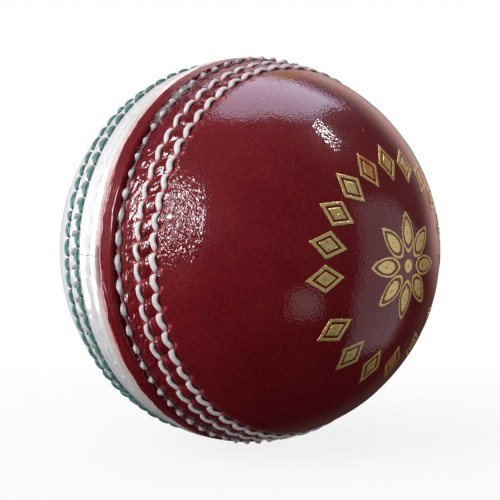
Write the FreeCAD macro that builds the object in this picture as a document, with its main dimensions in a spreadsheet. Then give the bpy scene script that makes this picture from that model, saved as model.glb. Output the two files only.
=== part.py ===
import FreeCAD, Part

import math
import os

import Sketcher

from FreeCAD import Placement, Rotation, Vector

# A hard ball for bat-and-ball games, built as the real one is: a cork and rubber nucleus, wound with yarn
# between two layers of cork cups, lined, and covered with four leather quarters that are sewn together.
#
# The ball's centre is the origin. The two coloured halves meet in the YZ plane (the parting plane), the red
# half's pole is on +X and the white half's on -X. The white half's two quarters meet in the XY plane and the
# red half's in the XZ plane. An azimuth turns about +X from the -Y side, and a row of stitches lies at a
# given distance from the parting plane, measured over the leather.

doc = FreeCAD.newDocument("stitched_ball")

# name, value in millimetres (or a count), and what it is
SIZES = (
    ("ball_radius", 36.0, "centre to the smooth outside of the leather"),
    ("leather_thickness", 3.4, "cover leather, outside to flesh side"),
    ("lining_thickness", 0.7, "thin leather cup glued under each half"),
    ("outer_winding", 2.8, "thickness of the outer yarn winding"),
    ("outer_cork", 3.0, "thickness of the outer cork cups"),
    ("middle_winding", 3.5, "thickness of the middle yarn winding"),
    ("inner_cork", 3.5, "thickness of the inner cork cups"),
    ("inner_winding", 4.0, "thickness of the inner yarn winding"),
    ("glue_line", 0.1, "space between one layer and the next"),
    ("cup_gap", 0.4, "space between the rims of two cups"),
    ("parting_gap", 0.1, "space between the two leather halves"),
    ("lip_rise", 0.35, "how far the sewn lips stand above the ball"),
    ("lip_land", 1.3, "parting plane to the top edge of a lip's bevel"),
    ("lip_foot", 1.9, "parting plane to the foot of a lip's bevel"),
    ("red_inner_row", 5.0, "parting plane to the closing stitches on the red half"),
    ("red_middle_row", 9.3, "parting plane to the red half's middle row"),
    ("red_outer_row", 12.6, "parting plane to the red half's outer row"),
    ("white_inner_row", 3.1, "parting plane to the closing stitches on the white half"),
    ("white_middle_row", 7.0, "parting plane to the white half's middle row"),
    ("white_outer_row", 11.9, "parting plane to the white half's outer row"),
    ("closing_count", 72, "closing stitches round the ball"),
    ("red_count", 62, "stitches in each other row of the red half"),
    ("white_count", 74, "stitches in each other row of the white half"),
    ("thread_radius", 0.4, "radius of the waxed seam thread"),
    ("thread_ease", 0.45, "how much of a corner the thread's own line cuts off"),
    ("thread_proud", 0.3, "how far a stitch stands above the ball"),
    ("needle_clearance", 0.05, "space round a thread in its needle hole"),
    ("leg_wall", 0.2, "leather left between the two needle holes at one place of a row"),
    ("red_slant", 0.3, "sideways lean of each half of a red-side stitch"),
    ("white_slant", 0.2, "sideways lean of each half of a white-side stitch"),
    ("channel_room", 0.25, "floor of the channel that a row lies in, to the thread over it"),
    ("channel_floor", 0.9, "half the channel's width at its floor"),
    ("channel_mouth", 1.2, "half the channel's width at its mouth"),
    ("link_room", 0.35, "depth of the groove under the leather, beyond the links' thickness"),
    ("closing_depth", 1.9, "outside of the leather to the closing thread's run through the lips"),
    ("lock_radius", 0.25, "radius of the fine lock thread beside the white half's middle row"),
    ("lock_start", 1.4, "middle row to the near end of a lock stitch"),
    ("lock_end", 2.6, "middle row to the far end of a lock stitch"),
    ("lock_advance", 1.3, "how far a lock stitch runs along the row"),
    ("lock_depth", 1.2, "how deep a lock stitch's ends go into the leather"),
    ("joint_thread", 0.25, "radius of the thread that joins two quarters"),
    ("joint_ring", 0.8, "half the width of one ring of that thread"),
    ("joint_depth", 2.1, "outside of the leather to the middle of a ring"),
    ("joint_count", 21, "rings of thread along one quarter joint"),
    ("joint_margin", 4.0, "last row of stitches to the first ring"),
    ("foil_thickness", 0.12, "gold foil ornament on the red half"),
    ("foil_lift", 0.02, "leather to the underside of the foil"),
    ("emblem_right", 3.8, "red pole to the ornament's centre, along +Y"),
    ("emblem_down", 1.8, "red pole to the ornament's centre, along -Z"),
    ("border_radius", 18.0, "ornament's centre to the middle of a border lozenge"),
    ("lozenge_length", 6.2, "border lozenge, across the border"),
    ("lozenge_width", 4.6, "border lozenge, along the border"),
    ("rosette_radius", 9.5, "ornament's centre to the tip of a petal"),
    ("petal_start", 2.2, "ornament's centre to the root of a petal"),
    ("petal_width", 3.2, "a petal, at its widest"),
    ("rosette_eye", 1.5, "radius of the rosette's middle"),
)

UPPER_BORDER = (5.0, 185.0, 11)  # first and last lozenge, as angles from +Y towards +Z, and how many
LOWER_BORDER = (215.0, 325.0, 6)
PETALS = 8
RIGHT_CORNER = 1  # a sweep's way round a corner: mitred

sheet = doc.addObject("Spreadsheet::Sheet", "sizes")
for line, (alias, value, meaning) in enumerate(SIZES, start=1):
    sheet.set(f"A{line}", meaning)
    sheet.set(f"B{line}", str(value))
    sheet.setAlias(f"B{line}", alias)
doc.recompute()

# Expressions for the places that several pieces share
LEATHER_INSIDE = "(sizes.ball_radius - sizes.leather_thickness)"
LINING_OUTSIDE = f"({LEATHER_INSIDE} - sizes.glue_line)"
CHANNEL_DEPTH = "(2 * sizes.thread_radius - sizes.thread_proud + sizes.channel_room)"
LINK_DEPTH = "(2 * sizes.thread_radius + sizes.link_room)"
LAYERS = ("lining_thickness", "outer_winding", "outer_cork", "middle_winding", "inner_cork", "inner_winding")


def size(alias):
    """A driving dimension, read from the sheet."""
    return float(sheet.get(alias))


def layer_outside(number):
    """The expression for the outside radius of layer number, counted inwards from the lining."""
    above = "".join(f" - sizes.{name} - sizes.glue_line" for name in LAYERS[:number])
    return f"({LINING_OUTSIDE}{above})"


def layer_inside(number):
    """The expression for the inside radius of layer number."""
    return f"({layer_outside(number)} - sizes.{LAYERS[number]})"


def latitude(row):
    """The expression for a row's angle from the parting plane, in degrees."""
    return f"(sizes.{row} / sizes.ball_radius * 180 / pi)"


def value_of(expression):
    """The number that an expression stands for."""
    return float(sheet.evalExpression(expression))


# --- Sketches and bodies -------------------------------------------------------------------------------------


def make_body(name):
    body = doc.addObject("PartDesign::Body", name)
    body.Label = name
    return body


def make_sketch(body, name):
    """An empty sketch on the body's own XY plane: its horizontal axis is the ball's polar axis."""
    sketch = body.newObject("Sketcher::SketchObject", name)
    plane = next(item for item in body.Origin.OriginFeatures if item.Role == "XY_Plane")
    sketch.AttachmentSupport = [(plane, "")]
    sketch.MapMode = "FlatFace"
    return sketch


def hold_point(sketch, edge, end, across, up):
    """Ties one end of an edge to the expressions for its two coordinates. A coordinate of None stays free."""
    for kind, expression in (("DistanceX", across), ("DistanceY", up)):
        if expression is not None:
            index = sketch.addConstraint(Sketcher.Constraint(kind, edge, end, value_of(expression)))
            sketch.renameConstraint(index, f"{kind}_{edge}_{end}")
            sketch.setExpression(f"Constraints.{kind}_{edge}_{end}", expression)


def add_polygon(sketch, corners):
    """A closed outline of straight lines through corners, each an (across, up) pair of expressions."""
    points = [Vector(value_of(across), value_of(up), 0) for across, up in corners]
    first = sketch.GeometryCount
    count = len(points)
    for i in range(count):
        sketch.addGeometry(Part.LineSegment(points[i], points[(i + 1) % count]), False)
    for i in range(count):
        sketch.addConstraint(Sketcher.Constraint("Coincident", first + i, 2, first + (i + 1) % count, 1))
    for i, (across, up) in enumerate(corners):
        hold_point(sketch, first + i, 1, across, up)


def add_arc(sketch, radius, start_across, start_up):
    """An arc about the origin from the polar axis up to the point start_across, start_up, as numbers."""
    top = math.atan2(start_up, start_across)
    circle = Part.Circle(Vector(0, 0, 0), Vector(0, 0, 1), radius)
    index = sketch.addGeometry(Part.ArcOfCircle(circle, 0, top), False)
    sketch.addConstraint(Sketcher.Constraint("Coincident", index, 3, -1, 1))
    return index


def add_bowl(sketch, inside, outside, edge):
    """Half the section of a bowl: two arcs about the origin, from the polar axis to a rim at edge."""
    low, high, rim = value_of(inside), value_of(outside), value_of(edge)
    low_top = math.sqrt(low**2 - rim**2)
    high_top = math.sqrt(high**2 - rim**2)
    inner = add_arc(sketch, low, rim, low_top)
    outer = add_arc(sketch, high, rim, high_top)
    axis_edge = sketch.addGeometry(Part.LineSegment(Vector(low, 0, 0), Vector(high, 0, 0)), False)
    rim_edge = sketch.addGeometry(Part.LineSegment(Vector(rim, high_top, 0), Vector(rim, low_top, 0)), False)
    sketch.addConstraint(Sketcher.Constraint("Coincident", inner, 1, axis_edge, 1))
    sketch.addConstraint(Sketcher.Constraint("Coincident", axis_edge, 2, outer, 1))
    sketch.addConstraint(Sketcher.Constraint("Coincident", outer, 2, rim_edge, 1))
    sketch.addConstraint(Sketcher.Constraint("Coincident", rim_edge, 2, inner, 2))
    hold_point(sketch, axis_edge, 1, inside, "0")
    hold_point(sketch, axis_edge, 2, outside, "0")
    hold_point(sketch, rim_edge, 1, edge, None)
    hold_point(sketch, rim_edge, 2, edge, None)


def revolve(body, kind, name, sketch, angle):
    """Turns a sketch about the polar axis, as a Revolution that adds or a Groove that cuts."""
    feature = body.newObject(f"PartDesign::{kind}", name)
    feature.Profile = sketch
    feature.ReferenceAxis = (sketch, ["H_Axis"])
    feature.Angle = angle
    body.Tip = feature
    return feature


def bowl_body(name, inside, outside, edge, turn):
    """A whole cup between two radii, open towards the parting side, with its rim at edge."""
    body = make_body(name)
    sketch = make_sketch(body, f"{name}_section")
    add_bowl(sketch, inside, outside, edge)
    doc.recompute()
    revolve(body, "Revolution", f"{name}_cup", sketch, 360)
    body.Placement = Placement(Vector(0, 0, 0), turn)
    doc.recompute()
    return body


# --- Leather quarters ----------------------------------------------------------------------------------------


def add_lip(sketch):
    """The raised lip: a land beside the parting plane, and a bevel down to the ball."""
    land_top = "sizes.ball_radius + sizes.lip_rise"
    sunk = "sizes.ball_radius - sizes.leather_thickness / 2"
    foot_height = "sqrt(sizes.ball_radius ^ 2 - sizes.lip_foot ^ 2)"
    corners = (
        ("sizes.parting_gap / 2", sunk),
        ("sizes.parting_gap / 2", land_top),
        ("sizes.lip_land", land_top),
        ("sizes.lip_foot", foot_height),
        ("sizes.lip_foot", sunk),
    )
    add_polygon(sketch, corners)


def add_channel(sketch, row, floor, mouth, floor_half, mouth_half):
    """The section of a groove along a row, from its floor radius to its mouth radius."""
    angle = latitude(row)

    def corner(radius, side):
        across = f"({radius}) * sin({angle}) + ({side}) * cos({angle})"
        up = f"({radius}) * cos({angle}) - ({side}) * sin({angle})"
        return across, up

    corners = (
        corner(floor, f"-{floor_half}"),
        corner(mouth, f"-{mouth_half}"),
        corner(mouth, mouth_half),
        corner(floor, floor_half),
    )
    add_polygon(sketch, corners)


def quarter_body(name, rows, turn):
    """One cover quarter before it is pierced: shell, lip, the rows' channels and the grooves under them."""
    body = make_body(f"{name}_cut_out")
    shell = make_sketch(body, f"{name}_section")
    add_bowl(shell, LEATHER_INSIDE, "sizes.ball_radius", "sizes.parting_gap / 2")
    doc.recompute()
    revolve(body, "Revolution", f"{name}_shell", shell, 180)
    lip = make_sketch(body, f"{name}_lip_section")
    add_lip(lip)
    doc.recompute()
    revolve(body, "Revolution", f"{name}_lip", lip, 180)
    channels = make_sketch(body, f"{name}_channel_section")
    floor = f"sizes.ball_radius - {CHANNEL_DEPTH}"
    mouth = "sizes.ball_radius + sizes.lip_rise * 2"
    for row in rows:
        add_channel(channels, row, floor, mouth, "sizes.channel_floor", "sizes.channel_mouth")
    under_mouth = f"{LEATHER_INSIDE} - sizes.glue_line * 2"
    under_floor = f"{LEATHER_INSIDE} + {LINK_DEPTH}"
    for row in rows[1:]:
        add_channel(channels, row, under_floor, under_mouth, "sizes.channel_floor", "sizes.channel_floor")
    doc.recompute()
    revolve(body, "Groove", f"{name}_channels", channels, 360)
    body.Placement = Placement(Vector(0, 0, 0), turn)
    doc.recompute()
    return body


# --- Threads -------------------------------------------------------------------------------------------------


def unit(vector):
    """A vector of length 1 the same way."""
    return Vector(vector).normalize()


def eased_path(points, ease):
    """The points, with each inner corner cut off at the ease distance from it."""
    eased = [points[0]]
    for before, corner, after in zip(points, points[1:], points[2:]):
        eased.append(corner - unit(corner - before) * ease)
        eased.append(corner + unit(after - corner) * ease)
    eased.append(points[-1])
    return eased


def thread_along(points, ease, radius):
    """Round thread of one radius along an eased path, mitred where the path turns."""
    path = eased_path(points, ease)
    circle = Part.Circle(path[0], path[1] - path[0], radius)
    profile = Part.Wire([circle.toShape()])
    return Part.makePolygon(path).makePipeShell([profile], True, False, RIGHT_CORNER)


def closed_loop(first_half, second_half, ease, radius):
    """Two half loops that share both their end faces, joined into one loop of thread."""
    first = thread_along(first_half, ease, radius)
    second = thread_along(second_half, ease, radius)
    return first.fuse(second).removeSplitter().Solids[0]


def stitch_place(row, side):
    """The outward direction and the sideways direction (towards the side's pole) at a row, at azimuth 0."""
    angle = math.radians(value_of(latitude(row)))
    outward = Vector(side * math.sin(angle), -math.cos(angle), 0)
    poleward = Vector(side * math.cos(angle), math.sin(angle), 0)
    return outward, poleward


ALONG = Vector(0, 0, -1)  # the way a row runs at azimuth 0


def thread_top():
    """Radius at which the middle of a seam thread lies on top of the leather."""
    return size("ball_radius") + size("thread_proud") - size("thread_radius")


def half_stitch(row, count, slant):
    """Half the distance along the row between a stitch's two legs."""
    angle = math.radians(value_of(latitude(row)))
    pitch = 2 * math.pi * size("ball_radius") * math.cos(angle) / count
    legs_apart = 2 * (size("thread_radius") + size("needle_clearance")) + size("leg_wall")
    apart = math.sqrt(legs_apart**2 - (2 * slant) ** 2)
    return (pitch - apart) / 2


def row_stitch(row, side, count, slant, radius):
    """One stitch of a middle or outer row: over the leather, down through it, and linked beneath it."""
    outward, poleward = stitch_place(row, side)
    reach = half_stitch(row, count, slant)
    top = thread_top()
    bottom = value_of(LEATHER_INSIDE) + size("thread_radius") + size("needle_clearance") * 2

    def point(share, height):
        return outward * height + ALONG * (reach * share) + poleward * (slant * share)

    first_half = [point(0, bottom), point(1, bottom), point(1, top), point(0, top)]
    second_half = [point(0, top), point(-1, top), point(-1, bottom), point(0, bottom)]
    return closed_loop(first_half, second_half, size("thread_ease"), radius)


def closing_stitch(radius):
    """One closing stitch: a bead on each half, and two runs through both lips below the leather's face."""
    reach = half_stitch("red_inner_row", size("closing_count"), 0)
    top = thread_top()
    deep = size("ball_radius") - size("closing_depth")

    def half(row, side, turn):
        outward, _ = stitch_place(row, side)
        above = outward * top
        below = outward * (deep / -outward.y)
        middle = Vector(0, -deep, 0)
        near = ALONG * (reach * turn)
        far = ALONG * (-reach * turn)
        return [middle + near, below + near, above + near, above + far, below + far, middle + far]

    red_half = half("red_inner_row", 1, 1)
    white_half = half("white_inner_row", -1, 1)
    return closed_loop(red_half, white_half, size("thread_ease"), radius)


def lock_stitch(radius):
    """One short run of the fine lock thread, with both its ends in the leather."""
    outward, poleward = stitch_place("white_middle_row", -1)
    top = size("ball_radius") + size("lock_radius") + size("needle_clearance") * 2
    bottom = size("ball_radius") - size("lock_depth")
    start = poleward * size("lock_start")
    end = poleward * size("lock_end") + ALONG * size("lock_advance")
    points = [
        outward * bottom + start,
        outward * top + start,
        outward * top + end,
        outward * bottom + end,
    ]
    return thread_along(points, size("lock_radius"), radius)


def joint_ring(radius):
    """One ring of the thread that joins two quarters, at the parting plane and across the XY plane."""
    middle = Vector(0, -(size("ball_radius") - size("joint_depth")), 0)
    half = size("joint_ring")
    outer = Vector(0, -half, 0)
    upper = Vector(0, 0, half)
    first_half = [middle + outer, middle + outer + upper, middle - outer + upper, middle - outer]
    second_half = [middle - outer, middle - outer - upper, middle + outer - upper, middle + outer]
    regular = half * (2 - math.sqrt(2))
    return closed_loop(first_half, second_half, regular, radius)


def turned(shape, angle, axis=Vector(1, 0, 0)):
    """A copy of a shape, turned about an axis through the ball's centre."""
    copy = shape.copy()
    copy.rotate(Vector(0, 0, 0), axis, angle)
    return copy


def round_the_ball(shape, count, first_angle):
    """Copies of one stitch all the way round, the first at first_angle."""
    return [turned(shape, first_angle + 360.0 * i / count) for i in range(int(count))]


def joint_rings(radius, last_row, side):
    """The rings along one half's quarter joint, from beside the last row over the pole and down again."""
    start = value_of(latitude(last_row)) + math.degrees(size("joint_margin") / size("ball_radius"))
    steps = int(size("joint_count")) - 1
    ring = joint_ring(radius)
    angles = [start + (180 - 2 * start) * i / steps for i in range(steps + 1)]
    return [turned(ring, side * angle, Vector(0, 0, 1)) for angle in angles]


# Each row of stitches: its node, its place, its half (+1 red, -1 white), its count, its slant, and the azimuth
# of one stitch's middle. That azimuth keeps every quarter joint between two legs.
ROWS = (
    ("red_middle_stitches", "red_middle_row", 1, "red_count", "red_slant", 90),
    ("red_outer_stitches", "red_outer_row", 1, "red_count", "red_slant", 90),
    ("white_middle_stitches", "white_middle_row", -1, "white_count", "white_slant", 0),
    ("white_outer_stitches", "white_outer_row", -1, "white_count", "white_slant", 0),
)


def row_stitches(row, side, count, slant, first_angle, extra):
    """A whole row of stitches, with extra added to the thread's radius."""
    one = row_stitch(row, side, size(count), size(slant), size("thread_radius") + extra)
    return round_the_ball(one, size(count), first_angle)


def closing_stitches(extra):
    return round_the_ball(closing_stitch(size("thread_radius") + extra), size("closing_count"), 0)


def lock_stitches(extra):
    half_pitch = 180.0 / size("white_count")
    return round_the_ball(lock_stitch(size("lock_radius") + extra), size("white_count"), half_pitch)


def quarter_joint_rings(side, extra):
    """The rings of the red half's joint (side +1, in the XZ plane) or of the white half's (in the XY plane)."""
    if side > 0:
        rings = joint_rings(size("joint_thread") + extra, "red_outer_row", 1)
        return [turned(ring, 90) for ring in rings]
    return joint_rings(size("joint_thread") + extra, "white_outer_row", -1)


def needle_ways(side):
    """Everything that is pierced through one half's leather: each thread's own line, with its clearance."""
    extra = size("needle_clearance")
    ways = closing_stitches(extra) + quarter_joint_rings(side, extra)
    for _, row, row_side, count, slant, first_angle in ROWS:
        if row_side == side:
            ways += row_stitches(row, row_side, count, slant, first_angle, extra)
    if side < 0:
        ways += lock_stitches(extra)
    return ways


# --- Gold foil ornament --------------------------------------------------------------------------------------


def lozenge(along_radius, across_radius, middle_radius, angle):
    """A flat lozenge in the YZ plane, its long axis pointing away from the ornament's centre."""
    out = Vector(0, math.cos(math.radians(angle)), math.sin(math.radians(angle)))
    side = Vector(0, -out.z, out.y)
    centre = emblem_centre() + out * middle_radius
    tips = (out * along_radius, side * across_radius, out * -along_radius, side * -across_radius)
    points = [centre + tip for tip in tips]
    return Part.Face(Part.makePolygon(points + points[:1]))


def emblem_centre():
    return Vector(0, size("emblem_right"), -size("emblem_down"))


def border(first, last, count):
    """Lozenges spaced evenly between two angles of the ornament's border."""
    angles = [first + (last - first) * i / (count - 1) for i in range(count)]
    half_length = size("lozenge_length") / 2
    half_width = size("lozenge_width") / 2
    return [lozenge(half_length, half_width, size("border_radius"), angle) for angle in angles]


def petals():
    half_length = (size("rosette_radius") - size("petal_start")) / 2
    middle = size("petal_start") + half_length
    return [lozenge(half_length, size("petal_width") / 2, middle, 360.0 * i / PETALS) for i in range(PETALS)]


def foil_shape():
    """Every figure of the ornament, pressed onto the ball as a thin patch of foil."""
    low = size("ball_radius") + size("foil_lift")
    high = low + size("foil_thickness")
    foil = Part.makeSphere(high).cut(Part.makeSphere(low))
    eye = Part.Circle(emblem_centre(), Vector(1, 0, 0), size("rosette_eye"))
    figures = border(*UPPER_BORDER) + border(*LOWER_BORDER) + petals()
    figures.append(Part.Face(Part.Wire([eye.toShape()])))
    prisms = [figure.extrude(Vector(high + 1, 0, 0)) for figure in figures]
    return Part.Compound([solid for prism in prisms for solid in foil.common(prism).Solids])


# --- The pieces ----------------------------------------------------------------------------------------------

pieces = []


def keep(piece, name):
    """Names a finished piece. Its label names its file."""
    piece.Label = name
    pieces.append(piece)
    return piece


def plain_feature(name, shape):
    """A piece whose shape is worked out here from the sheet's sizes."""
    feature = doc.addObject("Part::Feature", name)
    feature.Shape = shape
    feature.Placement = Placement(Vector(0, 0, 0), Rotation())
    return feature


def sphere(name, radius):
    ball = doc.addObject("Part::Sphere", name)
    ball.setExpression("Radius", radius)
    return ball


def winding(name, number):
    """A layer of wound yarn, as a hollow ball between two layers."""
    layer = doc.addObject("Part::Cut", name)
    layer.Base = sphere(f"{name}_outside", layer_outside(number))
    layer.Tool = sphere(f"{name}_inside", layer_inside(number))
    return keep(layer, name)


def cup_pair(names, number, turns):
    """Two cups of one layer that meet rim to rim."""
    for name, turn in zip(names, turns):
        keep(bowl_body(name, layer_inside(number), layer_outside(number), "sizes.cup_gap / 2", turn), name)


def pierced_quarter(name, rows, turn, ways):
    """A leather quarter with its needle ways."""
    quarter = doc.addObject("Part::Cut", name)
    quarter.Base = quarter_body(name, rows, turn)
    quarter.Tool = ways
    return keep(quarter, name)


FORWARD = Rotation()
BACKWARD = Rotation(Vector(0, 1, 0), 180)
UPWARD = Rotation(Vector(0, 1, 0), -90)
DOWNWARD = Rotation(Vector(0, 1, 0), 90)
LEFTWARD = Rotation(Vector(0, 0, 1), -90)
RIGHTWARD = Rotation(Vector(0, 0, 1), 90)

keep(sphere("cork_rubber_nucleus", layer_outside(len(LAYERS))), "cork_rubber_nucleus")
winding("inner_yarn_winding", LAYERS.index("inner_winding"))
cup_pair(("inner_cork_cup_upper", "inner_cork_cup_lower"), LAYERS.index("inner_cork"), (UPWARD, DOWNWARD))
winding("middle_yarn_winding", LAYERS.index("middle_winding"))
cup_pair(("outer_cork_cup_left", "outer_cork_cup_right"), LAYERS.index("outer_cork"), (LEFTWARD, RIGHTWARD))
winding("outer_yarn_winding", LAYERS.index("outer_winding"))
cup_pair(("red_cover_lining", "white_cover_lining"), LAYERS.index("lining_thickness"), (FORWARD, BACKWARD))

red_ways = plain_feature("red_needle_ways", Part.Compound(needle_ways(1)))
white_ways = plain_feature("white_needle_ways", Part.Compound(needle_ways(-1)))
red_rows = ("red_inner_row", "red_middle_row", "red_outer_row")
white_rows = ("white_inner_row", "white_middle_row", "white_outer_row")
TO_FRONT = Rotation(Vector(1, 0, 0), 90)
TO_REAR = Rotation(Vector(1, 0, 0), -90)
OVER = Rotation(Vector(1, 0, 0), 180)
pierced_quarter("red_quarter_front", red_rows, TO_FRONT, red_ways)
pierced_quarter("red_quarter_rear", red_rows, TO_REAR, red_ways)
pierced_quarter("white_quarter_lower", white_rows, BACKWARD, white_ways)
pierced_quarter("white_quarter_upper", white_rows, BACKWARD.multiply(OVER), white_ways)

for node, row, side, count, slant, first_angle in ROWS:
    stitches = row_stitches(row, side, count, slant, first_angle, 0)
    keep(plain_feature(node, Part.Compound(stitches)), node)
keep(plain_feature("closing_stitches", Part.Compound(closing_stitches(0))), "closing_stitches")
keep(plain_feature("white_lock_stitches", Part.Compound(lock_stitches(0))), "white_lock_stitches")
for node, side in (("red_quarter_joint_thread", 1), ("white_quarter_joint_thread", -1)):
    keep(plain_feature(node, Part.Compound(quarter_joint_rings(side, 0))), node)
keep(plain_feature("gold_foil_ornament", foil_shape()), "gold_foil_ornament")

doc.recompute()

# --- Checks and files ----------------------------------------------------------------------------------------

for item in doc.Objects:
    if {"Invalid", "Error"} & set(item.State):
        raise RuntimeError(f"{item.Name} failed: {item.State}")
for piece in pieces:
    if piece.Shape.isNull() or not piece.Shape.isValid():
        raise RuntimeError(f"{piece.Label} has no sound shape")

os.makedirs("parts", exist_ok=True)
for piece in pieces:
    piece.Shape.exportStep(f"parts/{piece.Label}.step")
    print(f"{piece.Label}: {len(piece.Shape.Solids)} solids, {piece.Shape.Volume / 1000:.2f} cm3")
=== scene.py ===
import bpy
import numpy as np
from mathutils import Matrix, Vector


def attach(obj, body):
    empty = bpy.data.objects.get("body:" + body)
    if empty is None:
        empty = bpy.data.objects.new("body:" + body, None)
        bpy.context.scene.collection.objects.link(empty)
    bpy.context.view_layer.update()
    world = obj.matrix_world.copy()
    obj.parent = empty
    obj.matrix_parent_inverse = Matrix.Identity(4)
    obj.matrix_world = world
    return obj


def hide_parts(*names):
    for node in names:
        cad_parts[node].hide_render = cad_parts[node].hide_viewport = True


# The looks of a stitched leather ball: a red half and a white half that meet at the parting plane x = 0.
# Lengths are millimetres and angles degrees until a mesh is made. An azimuth turns about +X from the -Y side
# towards -Z. "Along" is the distance over the leather from the parting plane, positive on the red half and
# negative on the white half.

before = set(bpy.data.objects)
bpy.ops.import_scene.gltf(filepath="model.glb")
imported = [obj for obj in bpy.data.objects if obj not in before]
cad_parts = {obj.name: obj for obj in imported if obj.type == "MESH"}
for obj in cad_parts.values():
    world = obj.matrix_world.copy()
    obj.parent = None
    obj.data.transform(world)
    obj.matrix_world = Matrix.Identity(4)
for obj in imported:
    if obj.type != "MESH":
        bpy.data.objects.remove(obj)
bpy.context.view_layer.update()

METRES = 0.001
BALL = 36.0
FLESH = 32.6  # inside of the cover leather
EDGE = 0.05  # parting plane to a half's own cut edge
LOWEST = 36.4  # the floor, below the middle of the ball

RED_STITCHES, WHITE_STITCHES, CLOSING_STITCHES = 62, 74, 72  # in one row

# --- Small tools -------------------------------------------------------------------------


def chance(seed):
    """A repeatable source of random numbers."""
    return np.random.default_rng(seed)


def step(value, start, end):
    """0 before start and 1 after end, with a smooth change between."""
    share = np.clip((value - start) / (end - start), 0.0, 1.0)
    return share * share * (3.0 - 2.0 * share)


def bump(value, centre, half):
    """1 at the centre, falling away smoothly on both sides."""
    return np.exp(-(((value - centre) / half) ** 2))


def plateau(value, start, full, fade, end):
    """0 before start, 1 from full to fade and 0 after end."""
    return step(value, start, full) * (1 - step(value, fade, end))


def blend(first, second, share):
    """The first where the share is 0 and the second where it is 1."""
    return first * (1 - share) + second * share


def arch(share, power):
    """A hump over the shares from 0 to 1, with a flatter top for a lower power."""
    return np.clip(np.sin(np.pi * np.clip(share, 0, 1)), 0, 1) ** power


def from_front(azimuth):
    """The azimuth as an angle between -180 and 180."""
    return (azimuth + 180.0) % 360.0 - 180.0


def noise(x, y, repeat, seed):
    """Smooth noise from -1 to 1 on a unit lattice that repeats along x after a whole number of cells."""
    table = chance(seed).uniform(-1.0, 1.0, (repeat, 256))
    column, row = np.floor(x).astype(int), np.floor(y).astype(int)
    u, v = x - column, y - row
    u, v = u * u * (3 - 2 * u), v * v * (3 - 2 * v)
    left, right, low, high = column % repeat, (column + 1) % repeat, row % 256, (row + 1) % 256
    lower = (1 - u) * table[left, low] + u * table[right, low]
    upper = (1 - u) * table[left, high] + u * table[right, high]
    return (1 - v) * lower + v * upper


def leather_noise(azimuth, along, cell, seed, stretch=1.0):
    """Noise over the leather, with cells of that size (mm), longer round the ball by the stretch."""
    repeat = max(3, round(2 * np.pi * BALL / (cell * stretch)))
    return noise(azimuth / 360.0 * repeat, along / cell + 100.0, repeat, seed)


def on_ball(azimuth, along, height):
    """Points in metres, at a height over the smooth ball."""
    turn, tilt = np.radians(azimuth), along / BALL
    radius = BALL + height
    ring = radius * np.cos(tilt)
    points = np.stack([radius * np.sin(tilt), -ring * np.cos(turn), -ring * np.sin(turn)], axis=-1)
    return points * METRES


def ring_radius(along):
    """Millimetres for each radian of azimuth, at that distance from the parting plane."""
    return BALL * np.cos(along / BALL)


def mesh_piece(name, points, faces, material, attributes=None):
    """An object from points in metres and faces. Attributes are one number for each point."""
    mesh = bpy.data.meshes.new(name)
    mesh.from_pydata(np.asarray(points).reshape(-1, 3).tolist(), [], faces)
    for key, values in (attributes or {}).items():
        layer = mesh.attributes.new(key, "FLOAT", "POINT")
        layer.data.foreach_set("value", np.asarray(values, np.float32).ravel())
    mesh.polygons.foreach_set("use_smooth", np.full(len(mesh.polygons), True))
    mesh.update()
    mesh.materials.append(material)
    piece = bpy.data.objects.new(name, mesh)
    bpy.context.scene.collection.objects.link(piece)
    return piece


def grid_faces(rows, columns, start=0, closed=False, flip=False):
    """Quads between neighbouring rows of points. A closed grid joins its last column to its first."""
    across = columns if closed else columns - 1
    i, j = np.meshgrid(np.arange(rows - 1), np.arange(across), indexing="ij")
    k = (j + 1) % columns
    row, above = i * columns, (i + 1) * columns
    quads = np.stack([row + j, row + k, above + k, above + j], axis=-1).reshape(-1, 4) + start
    return (quads[:, ::-1] if flip else quads).tolist()


# --- Rows of stitches --------------------------------------------------------------------


class Row:
    """A row of stitches: where it lies, and the azimuth of each joint between two stitches."""

    def __init__(self, along, gaps, phase, jitter, seed):
        self.along = along
        self.count = len(gaps)
        starts = phase + np.concatenate([[0.0], np.cumsum(gaps)[:-1]])
        self.joints = starts + chance(seed).uniform(-jitter, jitter, self.count)

    def bounds(self):
        """Each joint, and the first one again a whole turn later."""
        return np.append(self.joints, self.joints[0] + 360.0)

    def place(self, azimuth):
        """How many stitches from the first joint: a whole number at each joint."""
        turns = np.floor((azimuth - self.joints[0]) / 360.0)
        rest = azimuth - turns * 360.0
        return np.interp(rest, self.bounds(), np.arange(self.count + 1)) + turns * self.count

    def from_joint(self, azimuth, along):
        """Offsets (along, down) in mm from the nearest joint, and that joint's number."""
        nearest = np.round(self.place(azimuth)).astype(int)
        turns, number = nearest // self.count, nearest % self.count
        down = np.radians(azimuth - self.joints[number] - turns * 360.0) * ring_radius(along)
        return along - self.along, down, number


red_gaps = np.full(RED_STITCHES, 360.0 / RED_STITCHES)
white_gaps = np.full(WHITE_STITCHES, 360.0 / WHITE_STITCHES)

# The closing thread's stitches are longest at the front, at azimuth 0
FRONT = CLOSING_STITCHES // 2
closing_gaps = 4.85 + 1.9 * bump(np.arange(CLOSING_STITCHES), FRONT, 4.0)
closing_gaps *= 360.0 / closing_gaps.sum()
closing_start = 1.7 - closing_gaps[:FRONT].sum() - closing_gaps[FRONT] / 2

red_middle = Row(9.3, red_gaps, 1.2, 0.22, 11)
red_outer = Row(12.6, red_gaps, -1.95, 0.2, 12)
white_middle = Row(-7.0, white_gaps, -2.06, 0.2, 13)
white_outer = Row(-11.9, white_gaps, 0.55, 0.75, 14)
red_closing = Row(5.1, closing_gaps, closing_start, 0.25, 15)
white_closing = Row(-3.1, closing_gaps, closing_start + 1.0, 0.25, 16)

# --- Leather -----------------------------------------------------------------------------

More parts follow.
